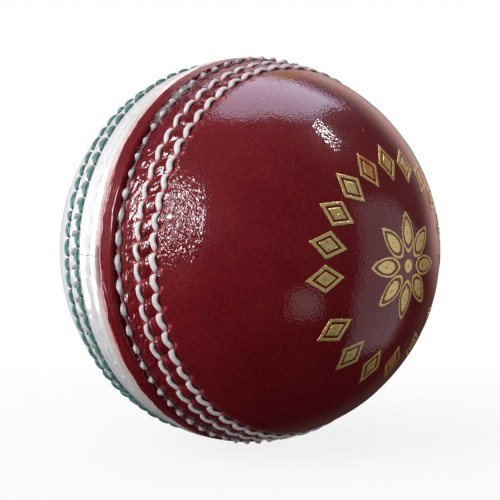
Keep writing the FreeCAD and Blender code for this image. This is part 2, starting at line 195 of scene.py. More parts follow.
RED_LEAN, WHITE_LEAN = 0.6, 0.55  # of the creases: mm round the ball for each mm along
GROOVE, GROOVE_HALF, GROOVE_DEPTH = 4.12, 0.36, 1.1
BED_DEPTH = 0.20  # of the dip that each stitch lies in
# stretches along the leather, where each starts, is full, fades and ends
RED_PAD, RED_RIPPLES = (9.5, 10.3, 11.6, 12.4), (8.3, 9.2, 12.9, 14.2)
WHITE_PAD, WHITE_RIPPLES = (7.3, 8.2, 10.9, 11.7), (6.0, 6.9, 12.4, 13.6)
CAP = (13, 17, 24, 40)  # where the plain leather outside the rows is a little uneven


def slit(row, azimuth, along, slope, before, after, half):
    """1 in the slanting awl slit at each joint of a row and 0 away from it, and the place along the slit."""
    across, down, number = row.from_joint(azimuth, along)
    slope = np.radians(slope + chance(row.count + 5).uniform(-6, 6, row.count)[number])
    reach = after * (1.0 + chance(row.count + 6).uniform(-0.25, 0.3, row.count)[number])
    length = across * np.cos(slope) - down * np.sin(slope)
    offset = across * np.sin(slope) + down * np.cos(slope)
    inside = plateau(length, -before, 0.25 - before, reach - 0.45, reach)
    taper = 1.0 - 0.5 * np.clip(length / reach, 0, 1)
    return bump(offset, 0.0, half * taper) * inside, length


def puckers(row, azimuth, along, slope):
    """0 on the slanting creases through a row's joints, 1 midway between them."""
    shift = np.degrees((along - row.along) * slope / ring_radius(along))
    return np.abs(np.sin(np.pi * row.place(azimuth + shift)))


def wrinkles(azimuth, along, cell, seed, stretch=1.0):
    """Fine creases: 1 on a crease, near 0 between."""
    return (1.0 - np.abs(leather_noise(azimuth, along, cell, seed, stretch))) ** 5


def between_rows(along, crease, pad, swell, dip, around, ripple):
    """The pad between two rows, which swells between its creases, and the ripples around it."""
    height = plateau(along, *pad) * (swell * crease**0.6 - dip)
    return height + ripple * plateau(along, *around) * (crease**0.5 - 0.75)


def red_relief(azimuth, along):
    """Height of the red half over the smooth ball, with its cut edge, its painted shade and its creased
    places.
    """
    turn = from_front(azimuth)
    wave = leather_noise(azimuth, along, 2.6, 21)
    fine = leather_noise(azimuth, along, 0.8, 22)
    edge = along + 0.22 * leather_noise(azimuth, 0.0, 1.6, 23) + 0.10 * leather_noise(azimuth, 0.0, 0.5, 24)
    # the lip: a flat raised strip with round shoulders
    strip = step(edge, -0.1, 1.0) * (1 - step(along + 0.14 * wave, 3.2, 3.8))
    height = strip * (0.38 + 0.05 * wave) - 0.10 * (1 - step(edge, -0.1, 0.9))
    # the closing thread's deep groove and bed
    groove_middle = GROOVE + 0.13 * leather_noise(azimuth, 0.0, 1.9, 25)
    groove = np.exp(-(((along - groove_middle) / GROOVE_HALF) ** 4))
    bed = bump(along, red_closing.along, 0.6)
    height -= GROOVE_DEPTH * groove + 0.16 * bed
    # the pads between the rows, drawn down at each joint
    inner_pad = 0.10 + 0.09 * wave - 0.16 * wrinkles(azimuth + along * 1.6, along, 1.3, 26)
    height += inner_pad * plateau(along, 5.7, 7.0, 7.9, 8.9)
    at_middle = puckers(red_middle, azimuth, along, RED_LEAN)
    at_outer = puckers(red_outer, azimuth, along, RED_LEAN)
    crease = blend(at_middle, at_outer, step(along, 10.0, 12.2))
    height += between_rows(along, crease, RED_PAD, 0.42, 0.20, RED_RIPPLES, 0.10)
    height -= BED_DEPTH * at_middle * bump(along, red_middle.along - 0.2, 0.6)
    height -= BED_DEPTH * at_outer * bump(along, red_outer.along - 0.2, 0.7)
    # the awl slits
    cut_middle, reach_middle = slit(red_middle, azimuth, along, slope=34, before=0.9, after=1.2, half=0.40)
    cut_outer, reach_outer = slit(red_outer, azimuth, along, slope=33, before=0.9, after=1.55, half=0.44)
    height -= 0.16 * (cut_middle + cut_outer)
    # the hollow under the concave side of each stitch
    tail = 0.0
    for row, half in ((red_middle, 0.30), (red_outer, 0.36)):
        tail = tail + bump(along, row.along + 0.45, half) * bump(row.place(azimuth) % 1.0, 0.72, 0.2)
    height -= 0.14 * tail
    # fine grain and folds near the seam, flatter on the lip
    seam = 1 - step(along, 13.2, 15.0)
    rough = 0.3 + 0.7 * step(along, 5.4, 7.2)
    fold = wrinkles(azimuth + along * 1.2, along, 0.95, 27, 1.4)
    height += seam * rough * (0.045 * fine - 0.09 * fold * step(along, 0.6, 1.4))
    height += 0.05 * leather_noise(azimuth, along, 5.0, 28) * plateau(along, *CAP)
    # creased leather: most just outside the rows, in a patch at the front and one at the back
    matt = 0.08 + 0.22 * step(along, 5.4, 7.2) + 0.70 * step(along, 12.6, 13.8)
    patch = 0.10 + 0.90 * bump(turn, -10.0, 13.0) + 0.5 * bump(np.abs(turn), 170.0, 30.0)
    far = (1 - (1 - patch) * step(along, 13.2, 14.6)) * (1 - step(along, 18.0, 23.0))
    creased = matt * step(along, 0.3, 1.2) * far
    # raw leather: the cut edge, wider under the front, and the slits
    cut_edge = 0.34 + 0.52 * plateau(turn, -4.0, -1.0, 35.0, 60.0)
    raw = 1 - step(edge, cut_edge, cut_edge + 0.2)
    raw = np.maximum(raw, np.clip(0.8 * (cut_middle + cut_outer), 0, 1))
    raw = np.maximum(raw, cut_middle * step(reach_middle, 0.2, 0.7))
    raw = np.maximum(raw, cut_outer * step(reach_outer, 0.3, 0.9))
    # painted shade: darker in the closing thread's groove and bed, in the hollow under each stitch and in the
    # folds near the seam
    shade = np.clip(1.1 * groove + 0.3 * bed + 0.4 * tail * (1 - raw), 0, 1)
    shade = np.maximum(shade, 0.3 * fold * seam * step(along, 1.0, 2.0))
    return height, raw, shade, creased


def white_relief(azimuth, along):
    """The same for the white half, whose distances are taken as positive here."""
    place = -along
    turn = from_front(azimuth)
    wave = leather_noise(azimuth, along, 2.6, 31)
    fine = leather_noise(azimuth, along, 0.8, 32)
    # the lip: a pale bevel along its cut edge, but a gap where the lips lie close at the front, sunk and
    # darkened with painted shade
    closed = plateau(turn, -3.2, -1.2, 6.5, 9.5)
    gap = closed * (1 - step(along, 0.38, 0.55))
    width = (0.70 + 0.2 * leather_noise(azimuth, 0.0, 4.5, 33)) * (1 - 0.9 * closed) + 0.08
    width = width + 0.07 * leather_noise(azimuth, 0.0, 0.9, 34)
    bevel = 1 - step(along, width * 0.85, width * 1.2)
    rise = np.clip(along / width, 0, 1)
    height = 0.32 * rise * (1 - step(along, 1.9, 3.0)) - 0.18 * (1 - rise) - 1.3 * gap
    # the closing thread's bed and the pads between the rows
    height -= 0.26 * bump(along, -white_closing.along, 0.45)
    height += 0.06 * (1 + wave) * plateau(along, 3.6, 4.6, 5.9, 6.6)
    at_middle = puckers(white_middle, azimuth, place, WHITE_LEAN)
    at_outer = puckers(white_outer, azimuth, place, WHITE_LEAN)
    crease = blend(at_middle, at_outer, step(along, 8.5, 10.5))
    height += between_rows(along, crease, WHITE_PAD, 0.20, 0.10, WHITE_RIPPLES, 0.07)
    height -= BED_DEPTH * at_middle * bump(place, white_middle.along - 0.1, 0.5)
    height -= BED_DEPTH * at_outer * bump(place, white_outer.along - 0.15, 0.5)
    # the awl slits
    cut_middle, _ = slit(white_middle, azimuth, place, slope=30, before=1.5, after=0.6, half=0.16)
    cut_outer, _ = slit(white_outer, azimuth, place, slope=30, before=0.9, after=0.7, half=0.16)
    height -= 0.25 * (cut_middle + cut_outer)
    # fine grain and folds near the seam
    seam = 1 - step(along, 12.6, 14.5)
    fold = wrinkles(azimuth + along, along, 1.1, 35, 1.3)
    height += seam * (0.012 * fine - 0.02 * fold * step(along, 1.4, 2.2))
    height += 0.05 * leather_noise(azimuth, along, 5.0, 36) * plateau(along, *CAP)
    # painted shade in the gap between the lips, the closing thread's bed, the slits and the folds near the
    # seam
    shade = gap + 0.10 * bump(along, -white_closing.along, 0.3) + 0.35 * (cut_middle + cut_outer)
    shade = np.maximum(np.clip(shade, 0, 1), 0.07 * fold * seam * step(along, 1.2, 2.0))
    return height, bevel * (1 - gap), shade, plateau(along, 0.6, 1.2, 13.5, 17.0)


JOINT_GAP = 0.02  # between the end walls of two quarters, in degrees to each side
COLUMNS = 620
COLUMN_SPREAD = 0.985  # of the even columns, which leaves room for closer ones at the joints
NEAR_JOINT = np.array([0.0, 0.12, 0.26, 0.46, 0.8])  # degrees, closer so that the hairline stays fine
DENSE_END = 15.6
DENSE_ROWS = 118
COARSE_ROWS = 30
INNER_ROWS = 9
RED_JOINT, WHITE_JOINT = (0.06, 0.3), (0.07, 0.35)  # depth and darkness of the line between two quarters
POLE = BALL * np.pi / 2 * 0.9995  # the last row, just short of the pole itself
POLE_RIM = 0.1  # width of the last ring of faces, which keeps the pole smooth


def quarter_grid(first):
    """The azimuths of a quarter's columns of points, and the distances of its rows."""
    even = np.linspace(first + JOINT_GAP, first + 180.0 - JOINT_GAP, COLUMNS)
    even = (first + 90.0) + (even - first - 90.0) * COLUMN_SPREAD
    start, end = first + JOINT_GAP + NEAR_JOINT, first + 180.0 - JOINT_GAP - NEAR_JOINT[::-1]
    dense = np.linspace(EDGE, DENSE_END, DENSE_ROWS, endpoint=False)
    coarse = DENSE_END + (POLE - DENSE_END) * (np.linspace(0, 1, COARSE_ROWS) ** 1.25)
    along = np.concatenate([dense, coarse[:-1], [POLE - POLE_RIM, POLE]])
    return np.concatenate([start, even[1:-1], end]), along


def leather_quarter(name, side, first, relief, joint, material):
    """One quarter of the cover: the finished outside, the cut edge, the end walls and the flesh side."""
    azimuth, along = quarter_grid(first)
    rows, columns = len(along), len(azimuth)
    grid_along, grid_azimuth = np.meshgrid(along, azimuth, indexing="ij")
    height, raw, shade, creased = relief(grid_azimuth, grid_along)
    # the fine dip where two quarters meet, at both sides of the ball
    turn = (grid_azimuth - first + 90.0) % 180.0 - 90.0
    aside = np.radians(turn) * ring_radius(grid_along)
    depth, dark = joint
    height = height - depth * (1 - 0.8 * step(grid_along, 8, 20)) * bump(aside, 0.0, 0.14)
    height = height * (1 - step(grid_along, 50, 55))
    at_joint = bump(aside, 0.0, 0.13) * (1 - step(grid_along, 4.5, 7.5))
    shade = np.maximum(shade, dark * at_joint)
    outer = on_ball(grid_azimuth, side * grid_along, height)
    inner_along, inner_azimuth = np.meshgrid(np.linspace(EDGE, POLE, INNER_ROWS), azimuth, indexing="ij")
    inner = on_ball(inner_azimuth, side * inner_along, np.full(inner_along.shape, FLESH - BALL))
    start = rows * columns
    out, back = (rows - 1) * columns, start + (INNER_ROWS - 1) * columns
    flip = side < 0
    faces = grid_faces(rows, columns, flip=flip) + grid_faces(INNER_ROWS, columns, start, flip=not flip)
    edge = [[j, start + j, start + j + 1, j + 1] for j in range(columns - 1)]
    top = [[out + j + 1, back + j + 1, back + j, out + j] for j in range(columns - 1)]
    wall = [i * columns for i in range(rows)] + [start + i * columns for i in reversed(range(INNER_ROWS))]
    far_wall = [point + columns - 1 for point in wall][::-1]
    extra = edge + top + [wall, far_wall]
    faces += [face[::-1] for face in extra] if flip else extra
    attributes = {}
    for key, values, flesh in (("raw", raw, 1.0), ("shade", shade, 0.0), ("creased", creased, 0.0)):
        attributes[key] = np.concatenate([values.ravel(), np.full(INNER_ROWS * columns, flesh)])
    points = np.concatenate([outer.reshape(-1, 3), inner.reshape(-1, 3)])
    return mesh_piece(name, points, faces, material, attributes)


# --- Thread ------------------------------------------------------------------------------


def strand(azimuth, along, height, half_width, half_height, sides,
           plies=0, twist=0.0, relief=0.0, slant=0.0):
    """Points of a flattened thread, one ring of points for each place on its line, cut across at a slant."""
    line = on_ball(azimuth, along, height)
    up = on_ball(azimuth, along, height + 1.0) - line
    up /= np.linalg.norm(up, axis=1)[:, None]
    ahead = np.gradient(line, axis=0)
    ahead /= np.linalg.norm(ahead, axis=1)[:, None]
    across = np.cross(ahead, up)
    across = across / np.linalg.norm(across, axis=1)[:, None] + slant * ahead
    angle = np.linspace(0, 2 * np.pi, sides, endpoint=False)[None, :]
    share = np.linspace(0, 1, len(azimuth))[:, None]
    swell = 1.0 + relief * np.cos(plies * angle + twist * share) if plies else np.ones((len(azimuth), sides))
    wide = (half_width[:, None] * np.cos(angle) * swell)[..., None] * METRES
    tall = (half_height[:, None] * np.sin(angle) * swell)[..., None] * METRES
    return line[:, None, :] + wide * across[:, None, :] + tall * up[:, None, :]


def tube_faces(rows, sides, start, loop, flip):
    """The skin of a thread of rings of points, joined into a loop or capped at both ends."""
    faces = grid_faces(rows, sides, start, closed=True)
    last = start + (rows - 1) * sides
    if loop:
        for j in range(sides):
            following = (j + 1) % sides
            faces.append([last + j, last + following, start + following, start + j])
    else:
        faces += [list(range(start, start + sides))[::-1], list(range(last, last + sides))]
    return [face[::-1] for face in faces] if flip else faces


def join_strands(name, strands, material, attributes=None, loops=0, flip=False):
    """One piece from many strands. The first few are loops and the others have ends of their own."""
    points, faces, start = [], [], 0
    for number, rings in enumerate(strands):
        rows, sides, _ = rings.shape
        points.append(rings.reshape(-1, 3))
        faces += tube_faces(rows, sides, start, number < loops, flip)
        start += rows * sides
    return mesh_piece(name, np.concatenate(points), faces, material, attributes)


STITCH_PLACES = 26
STITCH_SIDES = 14
STITCH_START, STITCH_END = 0.055, 0.965  # shares of the way from one joint to the next
SUNK = -0.26  # height of a stitch's ends


def rounded_end(share, length):
    """The width near an end: 0 at the tip, swelling round to 1 over that length."""
    return np.sqrt(np.clip(1 - (1 - np.clip(share / length, 0, 1)) ** 2, 0, 1))


def crescents(name, row, material, width, belly, lean, crown, blunt, slant, seed):
    """A row of flattened stitches that bow towards the white side and dive into the leather at both ends."""
    random = chance(seed)
    share = np.linspace(0, 1, STITCH_PLACES)
    # painted shade at both ends of each stitch, where it dives into the leather
    ends = np.clip(1 - 5.0 * np.minimum(share / 0.5, (1 - share) / 0.5), 0, 1)
    head, tail = rounded_end(share, blunt), rounded_end(1 - share, blunt * 1.1)
    height = SUNK + (crown - SUNK) * arch(share * 0.98 + 0.01, 0.42)
    half_height = 0.05 + 0.20 * np.sqrt(head * tail)
    strands = []
    bounds = row.bounds()
    for k in range(row.count):
        start = bounds[k] + STITCH_START * (bounds[k + 1] - bounds[k])
        end = bounds[k] + STITCH_END * (bounds[k + 1] - bounds[k])
        size, bow = 1 + random.uniform(-0.10, 0.10), 1 + random.uniform(-0.2, 0.2)
        azimuth = start + (end - start) * share
        along = row.along + 0.1 + lean * (2 * share - 1) - belly * bow * np.sin(np.pi * share)
        along = along + random.uniform(-0.06, 0.06) * np.sin(2 * np.pi * share)
        half_width = 0.06 + width / 2 * size * head * tail
        twist = random.uniform(2.0, 3.0)
        outline = (half_width, half_height, STITCH_SIDES)
        rings = strand(azimuth, along, height, *outline, plies=5, twist=twist, relief=0.045, slant=slant)
        strands.append(rings)
    shade = np.tile(np.repeat(ends, STITCH_SIDES), row.count)
    tone = np.repeat(random.uniform(0, 1, row.count), STITCH_PLACES * STITCH_SIDES)
    return join_strands(name, strands, material, {"shade": shade, "tone": tone})


BEAD_PLACES = 20
BEAD_SIDES = 12
BEAD_TWIST = 2 * np.pi * 130  # of the plies, once round the ball


def bead_ring(row, fat, thin, proud, seed):
    """The closing thread of one half: a bead at each stitch and a thin waist between."""
    random = chance(seed)
    bounds = row.bounds()
    azimuth, along, height, half, waist = [], [], [], [], []
    share = np.linspace(0, 1, BEAD_PLACES, endpoint=False)
    for k in range(row.count):
        front = 0.32 * bump(k, row.count / 2, 2.2)
        width, length = fat * random.uniform(0.85, 1.15), random.uniform(0.42, 0.52) + front
        bead = arch((share - 0.5) / length + 0.5, 0.5)
        azimuth.append(bounds[k] + (bounds[k + 1] - bounds[k]) * share)
        along.append(row.along + random.uniform(-0.08, 0.08) * bead + (0.16 + 0.3 * (share - 0.5)) * bead)
        height.append(proud - 0.42 * (1 - bead))
        half.append(thin + (width / 2 - thin) * bead)
        waist.append(1 - bead)
    azimuth, along, height, half, waist = map(np.concatenate, (azimuth, along, height, half, waist))
    outline = (half, half * 0.78, BEAD_SIDES)
    rings = strand(azimuth, along, height, *outline, plies=3, twist=BEAD_TWIST, relief=0.15)
    return rings, np.repeat(waist, BEAD_SIDES)


def hairs(row, count, seed, first=0.0, last=360.0, reach=1.1):
    """Loose fibres that stand out of the closing thread."""
    random = chance(seed)
    share = np.linspace(0, 1, 7)
    made = []
    for _ in range(count):
        start = random.uniform(first, last)
        length = random.uniform(0.35, 1.0) * reach
        heading = random.uniform(-1.0, 1.0)
        azimuth = start + np.degrees(length * np.cos(heading) / BALL) * share * random.choice((-1, 1))
        curl = random.uniform(-0.5, 0.5) * length
        along = row.along + random.uniform(-0.35, 0.35) + length * np.sin(heading) * share + curl * share**2
        lift = random.uniform(0.05, 0.4)
        height = -0.15 + (0.35 + lift) * arch(share * 0.85 + 0.08, 1)
        half = 0.035 * (1 - 0.6 * share)
        made.append(strand(azimuth, along, height, half, half, 4))
    return made


def closing_thread(name, material):
    """Both sides of the closing thread, with its fuzz, and the frayed place near the top of the ball."""
    red_ring, red_waist = bead_ring(red_closing, fat=1.06, thin=0.17, proud=0.32, seed=41)
    white_ring, white_waist = bead_ring(white_closing, fat=0.72, thin=0.15, proud=-0.12, seed=42)
    fuzz = hairs(red_closing, 240, seed=43)
    fuzz += hairs(red_closing, 260, seed=44, first=-58.0, last=-41.0, reach=1.9)
    plain = np.zeros(sum(rings.size // 3 for rings in fuzz))
    # painted shade on the waist between the beads, where the thread sinks into the groove; faint on the white
    # side
    shade = np.concatenate([red_waist, 0.1 * white_waist, plain])
    pale = np.concatenate([np.zeros(len(red_waist)), np.ones(len(white_waist)), plain])
    strands = [red_ring, white_ring, *fuzz]
    return join_strands(name, strands, material, {"shade": shade, "pale": pale}, loops=2)


LOCK_PLACES = 14
LOCK_SIDES = 10


def lock_bits(name, material):
    """Two short strands side by side at each joint of the white half's middle row."""
    random = chance(51)
    share = np.linspace(0, 1, LOCK_PLACES)
    half = 0.20 * arch(share * 0.9 + 0.08, 0.4)
    height = -0.2 + 0.46 * arch(share * 0.98 + 0.01, 0.6)
    strands, tones = [], []
    for joint in white_middle.joints:
        slant = random.uniform(-0.12, 0.12)
        for offset, tone in ((-0.17, 0.0), (0.17, 1.0)):
            reach = random.uniform(2.1, 2.5)
            along = white_middle.along - 0.5 - reach * share + offset * 0.5
            down = -0.05 + (0.48 + slant) * reach * share + offset * 0.9
            azimuth = joint + np.degrees(down / ring_radius(white_middle.along))
            outline = (half, half * 0.8, LOCK_SIDES)
            strands.append(strand(azimuth, along, height, *outline, plies=2, twist=9.0, relief=0.08))
            tones.append(tone)
    # painted shade towards the far end of each strand, where it dips into the leather
    shade = np.tile(np.repeat(np.clip(share * 1.4 - 0.7, 0, 1), LOCK_SIDES), len(strands))
    attributes = {"tone": np.repeat(tones, LOCK_PLACES * LOCK_SIDES), "shade": shade}
    return join_strands(name, strands, material, attributes)


# --- Gold foil ---------------------------------------------------------------------------

EMBLEM = np.array([3.8, -1.8])  # the ornament's centre as (y, z)
FOIL_LOW, FOIL_HIGH = 0.0, 0.055
OUTLINE_POINTS = 48
LEAVES = 8
EYE = 1.3  # radius of the flower's middle


def lozenge_outline(length, width):
    """Corners and evenly spaced points between them."""
    corners = np.array([[length / 2, 0], [0, width / 2], [-length / 2, 0], [0, -width / 2], [length / 2, 0]])
    place = np.linspace(0, 4, OUTLINE_POINTS, endpoint=False)
    return np.stack([np.interp(place, range(5), side) for side in corners.T], axis=1)


def leaf_outline(length, width):
    """A pointed leaf."""
    angle = np.linspace(0, 2 * np.pi, OUTLINE_POINTS, endpoint=False)
    out = length / 2 * np.cos(angle)
    side = width / 2 * np.sin(angle) * (1 - 0.25 * np.cos(angle)) * np.abs(np.sin(angle)) ** 0.35
    return np.stack([out, side], axis=1)


def placed(outline, radius, angle, ragged, seed):
    """An outline turned to point away from the ornament's centre, with a slightly ragged edge."""
    rough = chance(seed).normal(0, ragged, (len(outline), 1))
    outline = outline * (1 + rough)
    turn = np.radians(angle)
    out, side = np.array([np.cos(turn), np.sin(turn)]), np.array([-np.sin(turn), np.cos(turn)])
    return EMBLEM + out * radius + outline[:, :1] * out + outline[:, 1:] * side


def foil_band(outer, inner, rings):
    """A closed patch of foil on the ball between two outlines of the same number of points."""
    layers = []
    for share in np.linspace(0, 1, rings):
        layers.append(outer * (1 - share) + inner * share)
    flat = np.stack(layers)
    reach = (flat**2).sum(axis=-1)

    def lifted(height):
        x = np.sqrt((BALL + height) ** 2 - reach)
        return np.concatenate([x[..., None], flat], axis=-1) * METRES

    top, bottom = lifted(FOIL_HIGH), lifted(FOIL_LOW)
    return np.concatenate([top, bottom[::-1]])


def outlined(outline, scales, radius, angle, ragged, seed, rings):
    """A rim and a filled middle of the same shape, as two bands of foil."""
    rim, inner, middle, centre = (placed(outline * scale, radius, angle, ragged, seed) for scale in scales)
    return [foil_band(rim, inner, 4), foil_band(middle, centre, rings)]


def foil_ornament(name, material):
    """Outlined lozenges in two arcs round an outlined flower of leaves."""
    bands, seed = [], 60
    lozenge, leaf = lozenge_outline(6.4, 4.8), leaf_outline(7.2, 3.5)
    for first, last, count in ((5.0, 185.0, 11), (215.0, 325.0, 6)):
        for angle in np.linspace(first, last, count):
            seed += 1
            bands += outlined(lozenge, (1.0, 0.72, 0.52, 0.02), 18.0, angle, 0.014, seed, 4)
    for i in range(LEAVES):
        seed += 1
        bands += outlined(leaf, (1.0, 0.80, 0.64, 0.03), 5.9, 360.0 / LEAVES * i, 0.012, seed, 7)
    turn = np.linspace(0, 2 * np.pi, 32, endpoint=False)
    eye = EYE * np.stack([np.cos(turn), np.sin(turn)], axis=1)
    bands.append(foil_band(EMBLEM + eye, EMBLEM + eye * 0.03, 5))
    return join_strands(name, bands, material, loops=len(bands), flip=True)


# --- Finishes ----------------------------------------------------------------------------


class Nodes:
    """Adds nodes to a tree. What goes into a node is a number, a colour or another node's output."""

    def __init__(self, tree):
        self.tree = tree

    def feed(self, socket, value):
        if isinstance(value, bpy.types.NodeSocket):
            self.tree.links.new(value, socket)
        elif socket.type == "RGBA":
            socket.default_value = (*value, 1.0)
        else:
            socket.default_value = value

    def add(self, kind, output, inputs, **settings):
        """One output of a new node."""
        node = self.tree.nodes.new(kind)
        for key, value in settings.items():
            setattr(node, key, value)
        for key, value in inputs.items():
            self.feed(node.inputs[key], value)
        return node.outputs[output]

    def math(self, operation, first, second):
        return self.add("ShaderNodeMath", "Value", {0: first, 1: second}, operation=operation)

    def between(self, value, low, high, start=0.0, end=1.0):
        """The value carried from the range start..end to the range low..high."""
        ranges = {"From Min": start, "From Max": end, "To Min": low, "To Max": high}
        return self.add("ShaderNodeMapRange", "Result", {"Value": value, **ranges})

    def ramp(self, value, stops):
        node = self.tree.nodes.new("ShaderNodeValToRGB")
        while len(node.color_ramp.elements) < len(stops):
            node.color_ramp.elements.new(0.5)
        for element, (position, colour) in zip(node.color_ramp.elements, stops):
            element.position = position
            element.color = (*colour, 1.0)
        self.feed(node.inputs["Fac"], value)
        return node.outputs["Color"]

    def mix(self, share, first, second, blend_type="MIX"):
        """A mix of two colours. A mix node's colours are its sockets 6 and 7, and 2 going out."""
        settings = {"data_type": "RGBA", "blend_type": blend_type}
        return self.add("ShaderNodeMix", 2, {0: share, 6: first, 7: second}, **settings)


class Finish(Nodes):
    """A procedural material, built from nodes around one shader."""

    def __init__(self, name, **constants):
        self.material = bpy.data.materials.new(name)
        self.material.use_nodes = True
        super().__init__(self.material.node_tree)
        self.shader = self.tree.nodes["Principled BSDF"]
        for key, value in constants.items():
            self.shader.inputs[key.replace("_", " ")].default_value = value
        self.place = self.tree.nodes.new("ShaderNodeTexCoord").outputs["Object"]

    def attribute(self, name):
        return self.add("ShaderNodeAttribute", "Fac", {}, attribute_name=name)

    def stretched(self, scale):
        return self.add("ShaderNodeMapping", "Vector", {"Vector": self.place, "Scale": scale})

    def grain(self, scale, detail=2.0, roughness=0.5, distortion=0.0, vector=None):
        look = {"Scale": scale, "Detail": detail, "Roughness": roughness, "Distortion": distortion}
        return self.add("ShaderNodeTexNoise", "Fac", {"Vector": vector or self.place, **look})

    def cells(self, scale):
        return self.add("ShaderNodeTexVoronoi", "Distance", {"Vector": self.place, "Scale": scale})

    def bands(self, scale, distortion, direction):
        look = {"Scale": scale, "Distortion": distortion, "Detail": 2.0}
        return self.add("ShaderNodeTexWave", "Fac", {"Vector": self.place, **look}, bands_direction=direction)

    def colour(self, value):
        self.feed(self.shader.inputs["Base Color"], value)

    def roughness(self, value):
        self.feed(self.shader.inputs["Roughness"], value)

    def relief(self, height, distance, strength, below=None, coat=False):
        """Fine relief of the given depth in metres, on top of any relief already made."""
        inputs = {"Height": height, "Distance": distance, "Strength": strength}
        if below is not None:
            inputs["Normal"] = below
        normal = self.add("ShaderNodeBump", "Normal", inputs)
        self.feed(self.shader.inputs["Normal"], normal)
        if coat:
            self.feed(self.shader.inputs["Coat Normal"], normal)
        return normal


def red_leather():
    finish = Finish("red_leather", Coat_Weight=0.9, Coat_Roughness=0.045, Specular_IOR_Level=0.12)
    creased = finish.attribute("creased")
    mottle = finish.grain(110, 3.0)
    base = finish.ramp(mottle, ((0.3, (0.150, 0.0045, 0.0095)), (0.7, (0.205, 0.0065, 0.0130))))
    pores = finish.cells(2100)
    base = finish.mix(finish.between(pores, 0.0, 0.32, 0.25, 0.75), base, (0.34, 0.020, 0.03))
    scratches = finish.grain(420, 1.0, 0.5, 3.0, finish.stretched((1.0, 0.35, 1.0)))
    pale = finish.math("MULTIPLY", finish.between(scratches, 0.0, 0.4, 0.62, 0.72), creased)
    base = finish.mix(pale, base, (0.42, 0.06, 0.07))
    raw = finish.ramp(finish.grain(900, 2.0), ((0.35, (0.66, 0.028, 0.045)), (0.65, (0.92, 0.17, 0.20))))
    base = finish.mix(finish.attribute("raw"), base, raw)
    # painted shade from the shade attribute: groove, beds, hollows under the stitches and folds; also the
    # dark line between two quarters
    base = finish.mix(finish.attribute("shade"), base, (0.022, 0.0012, 0.0035))
    finish.colour(base)
    rough = finish.between(mottle, 0.24, 0.34, 0.3, 0.7)
    rough = finish.math("ADD", rough, finish.math("MULTIPLY", finish.attribute("raw"), 0.35))
    finish.roughness(rough)
    fine = finish.cells(2400)
    lines = finish.grain(2000, 1.0, 0.5, 1.4, finish.stretched((0.85, 1.0, 0.42)))
    even = finish.relief(fine, 0.00005, 0.36)
    finish.relief(lines, 0.0005, finish.between(creased, 0.0, 0.62), even, coat=True)
    return finish.material


def white_leather():
    finish = Finish("white_leather", Coat_Weight=0.9, Coat_Roughness=0.10, Specular_IOR_Level=0.2)
    creased = finish.attribute("creased")
    mottle = finish.grain(90, 3.0)
    base = finish.ramp(mottle, ((0.3, (0.90, 0.91, 0.93)), (0.7, (0.94, 0.94, 0.95))))
    smudge = finish.between(finish.grain(300, 3.0, 0.6, 1.5), 0.0, 0.22, 0.60, 0.75)
    base = finish.mix(finish.math("MULTIPLY", smudge, creased), base, (0.50, 0.42, 0.41))
    bevel = finish.ramp(finish.grain(700, 3.0), ((0.35, (0.88, 0.74, 0.70)), (0.65, (0.97, 0.89, 0.86))))
    base = finish.mix(finish.attribute("raw"), base, bevel)
    # painted shade from the shade attribute: the gap between the lips, the bed, the slits and the folds; also
    # the dark line between two quarters
    base = finish.mix(finish.attribute("shade"), base, (0.075, 0.03, 0.045))
    finish.colour(base)
    finish.roughness(finish.between(mottle, 0.36, 0.5, 0.3, 0.7))
    even = finish.relief(finish.cells(1500), 0.00006, 0.3)
    lines = finish.grain(600, 3.0, 0.55, 1.2)
    finish.relief(lines, 0.0004, finish.between(creased, 0.02, 0.22), even, coat=True)
    return finish.material


def thread_finish(name, light, dark, ends, depth=0.00016):
    """Waxed thread: fibres along it, darker with painted shade where it goes into the leather."""
    finish = Finish(name, Roughness=0.6, Sheen_Weight=0.15, Specular_IOR_Level=0.35)
    fibres = finish.grain(1900, 3.0, 0.6, 0.6, finish.stretched((1.0, 1.0, 0.22)))
    base = finish.ramp(fibres, ((0.3, dark), (0.62, light)))
    tone = finish.between(finish.attribute("tone"), 0.0, 0.28)
    base = finish.mix(tone, base, dark)
    base = finish.mix(finish.attribute("pale"), base, (0.80, 0.79, 0.80))
    # painted shade: the shade attribute mixes in the end colour where the thread sinks into the leather
    base = finish.mix(finish.attribute("shade"), base, ends)
    finish.colour(base)
    finish.relief(fibres, depth, 0.7)
    return finish.material


def foil_finish():
    finish = Finish("gold_foil", Metallic=0.5, Roughness=0.34, Coat_Weight=0.3, Coat_Roughness=0.1)
    tints = ((0.30, (0.88, 0.36, 0.08)), (0.39, (0.97, 0.70, 0.23)), (0.62, (1.0, 0.82, 0.32)),
             (0.70, (0.84, 0.80, 0.14)))
    shimmer = finish.ramp(finish.grain(75, 2.0, 0.5, 0.8), tints)
    worn = finish.between(finish.grain(1500, 3.0, 0.65), 0.0, 0.75, 0.60, 0.68)
    finish.colour(finish.mix(worn, shimmer, (0.10, 0.02, 0.015)))
    finish.roughness(finish.between(finish.grain(500, 2.0), 0.22, 0.42, 0.3, 0.7))
    finish.relief(finish.cells(1300), 0.00006, 0.4)
    return finish.material


def yarn_finish():
    finish = Finish("wound_yarn", Roughness=0.85, Sheen_Weight=0.2)
    one, two = finish.bands(260, 6.0, "X"), finish.bands(240, 7.0, "Z")
    weave = finish.mix(finish.grain(60, 1.0), one, two)
    finish.colour(finish.ramp(weave, ((0.2, (0.30, 0.24, 0.16)), (0.7, (0.60, 0.52, 0.38)))))
    finish.relief(weave, 0.0004, 0.8)
    return finish.material


